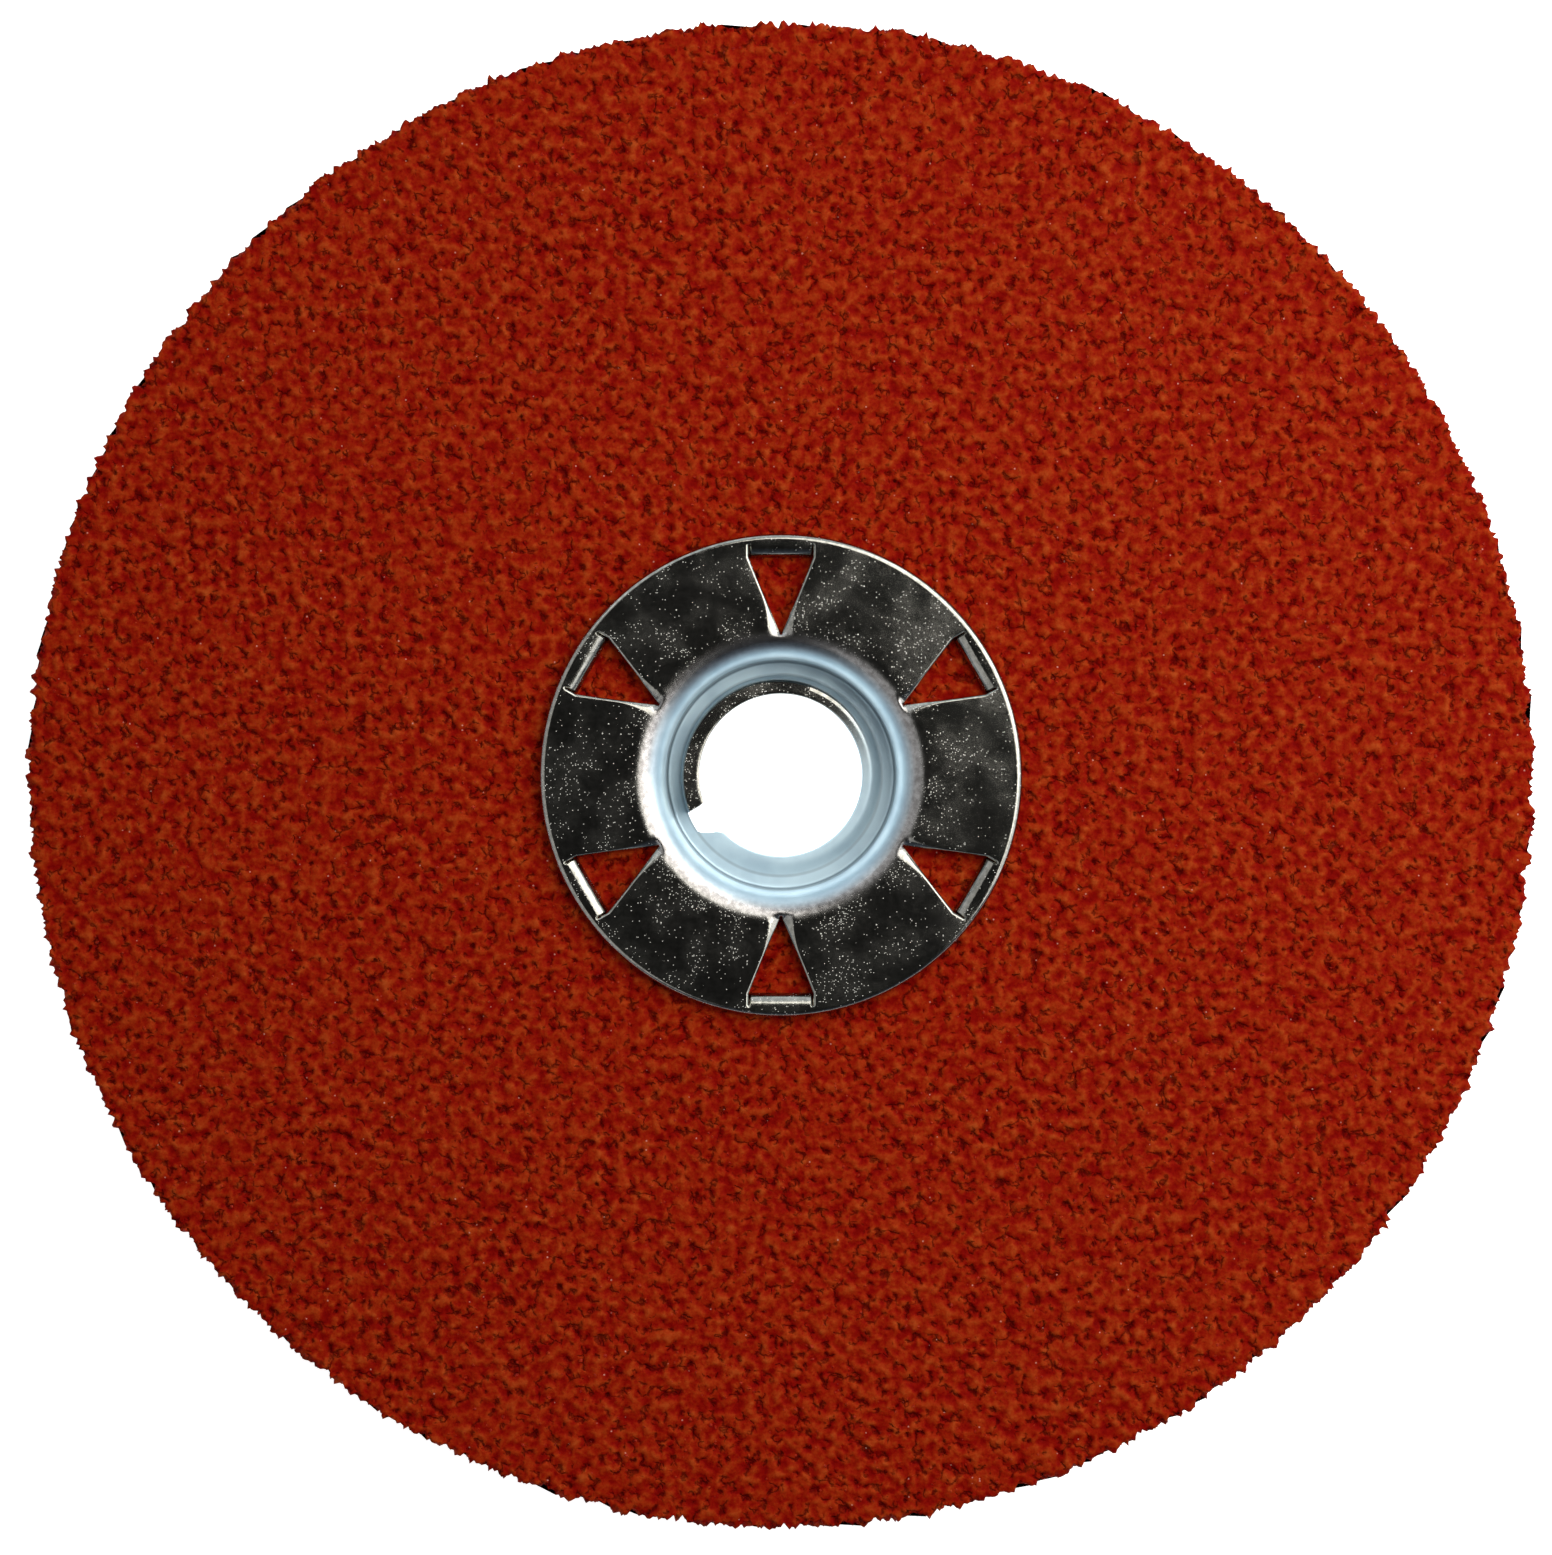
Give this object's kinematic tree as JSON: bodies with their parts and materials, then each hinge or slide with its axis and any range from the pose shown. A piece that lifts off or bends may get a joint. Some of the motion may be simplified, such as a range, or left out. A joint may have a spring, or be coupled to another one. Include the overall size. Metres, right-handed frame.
{
  "type": "abrasive disc with threaded hub",
  "caption": "Round red resin-fibre abrasive disc with a stamped zinc-plated hub nut clinched in its centre, screwed on an angle grinder's spindle over a backing pad.",
  "frame": {"origin": "on the hub axis at the underside of the hub's cup, the lowest point of the part as it lies", "axes": "+Z along the hub axis out of the abrasive face; +Y is the picture's up and +X its right"},
  "size_m": [0.127, 0.127, 0.006],
  "materials": {
    "fibre": "smooth vulcanised fibre, matte",
    "make_resin": "hard phenolic resin",
    "grain": "crushed aluminium oxide grain",
    "size_resin": "red-orange resin over coarse grain, semi-gloss",
    "hub_steel": "bright zinc plate, clear passivated"
  },
  "bodies": {
    "root": {"fibre_backing": "fibre", "make_coat": "make_resin", "abrasive_grain": "grain", "size_coat": "size_resin", "hub_nut": "hub_steel"}
  },
  "joints": []
}
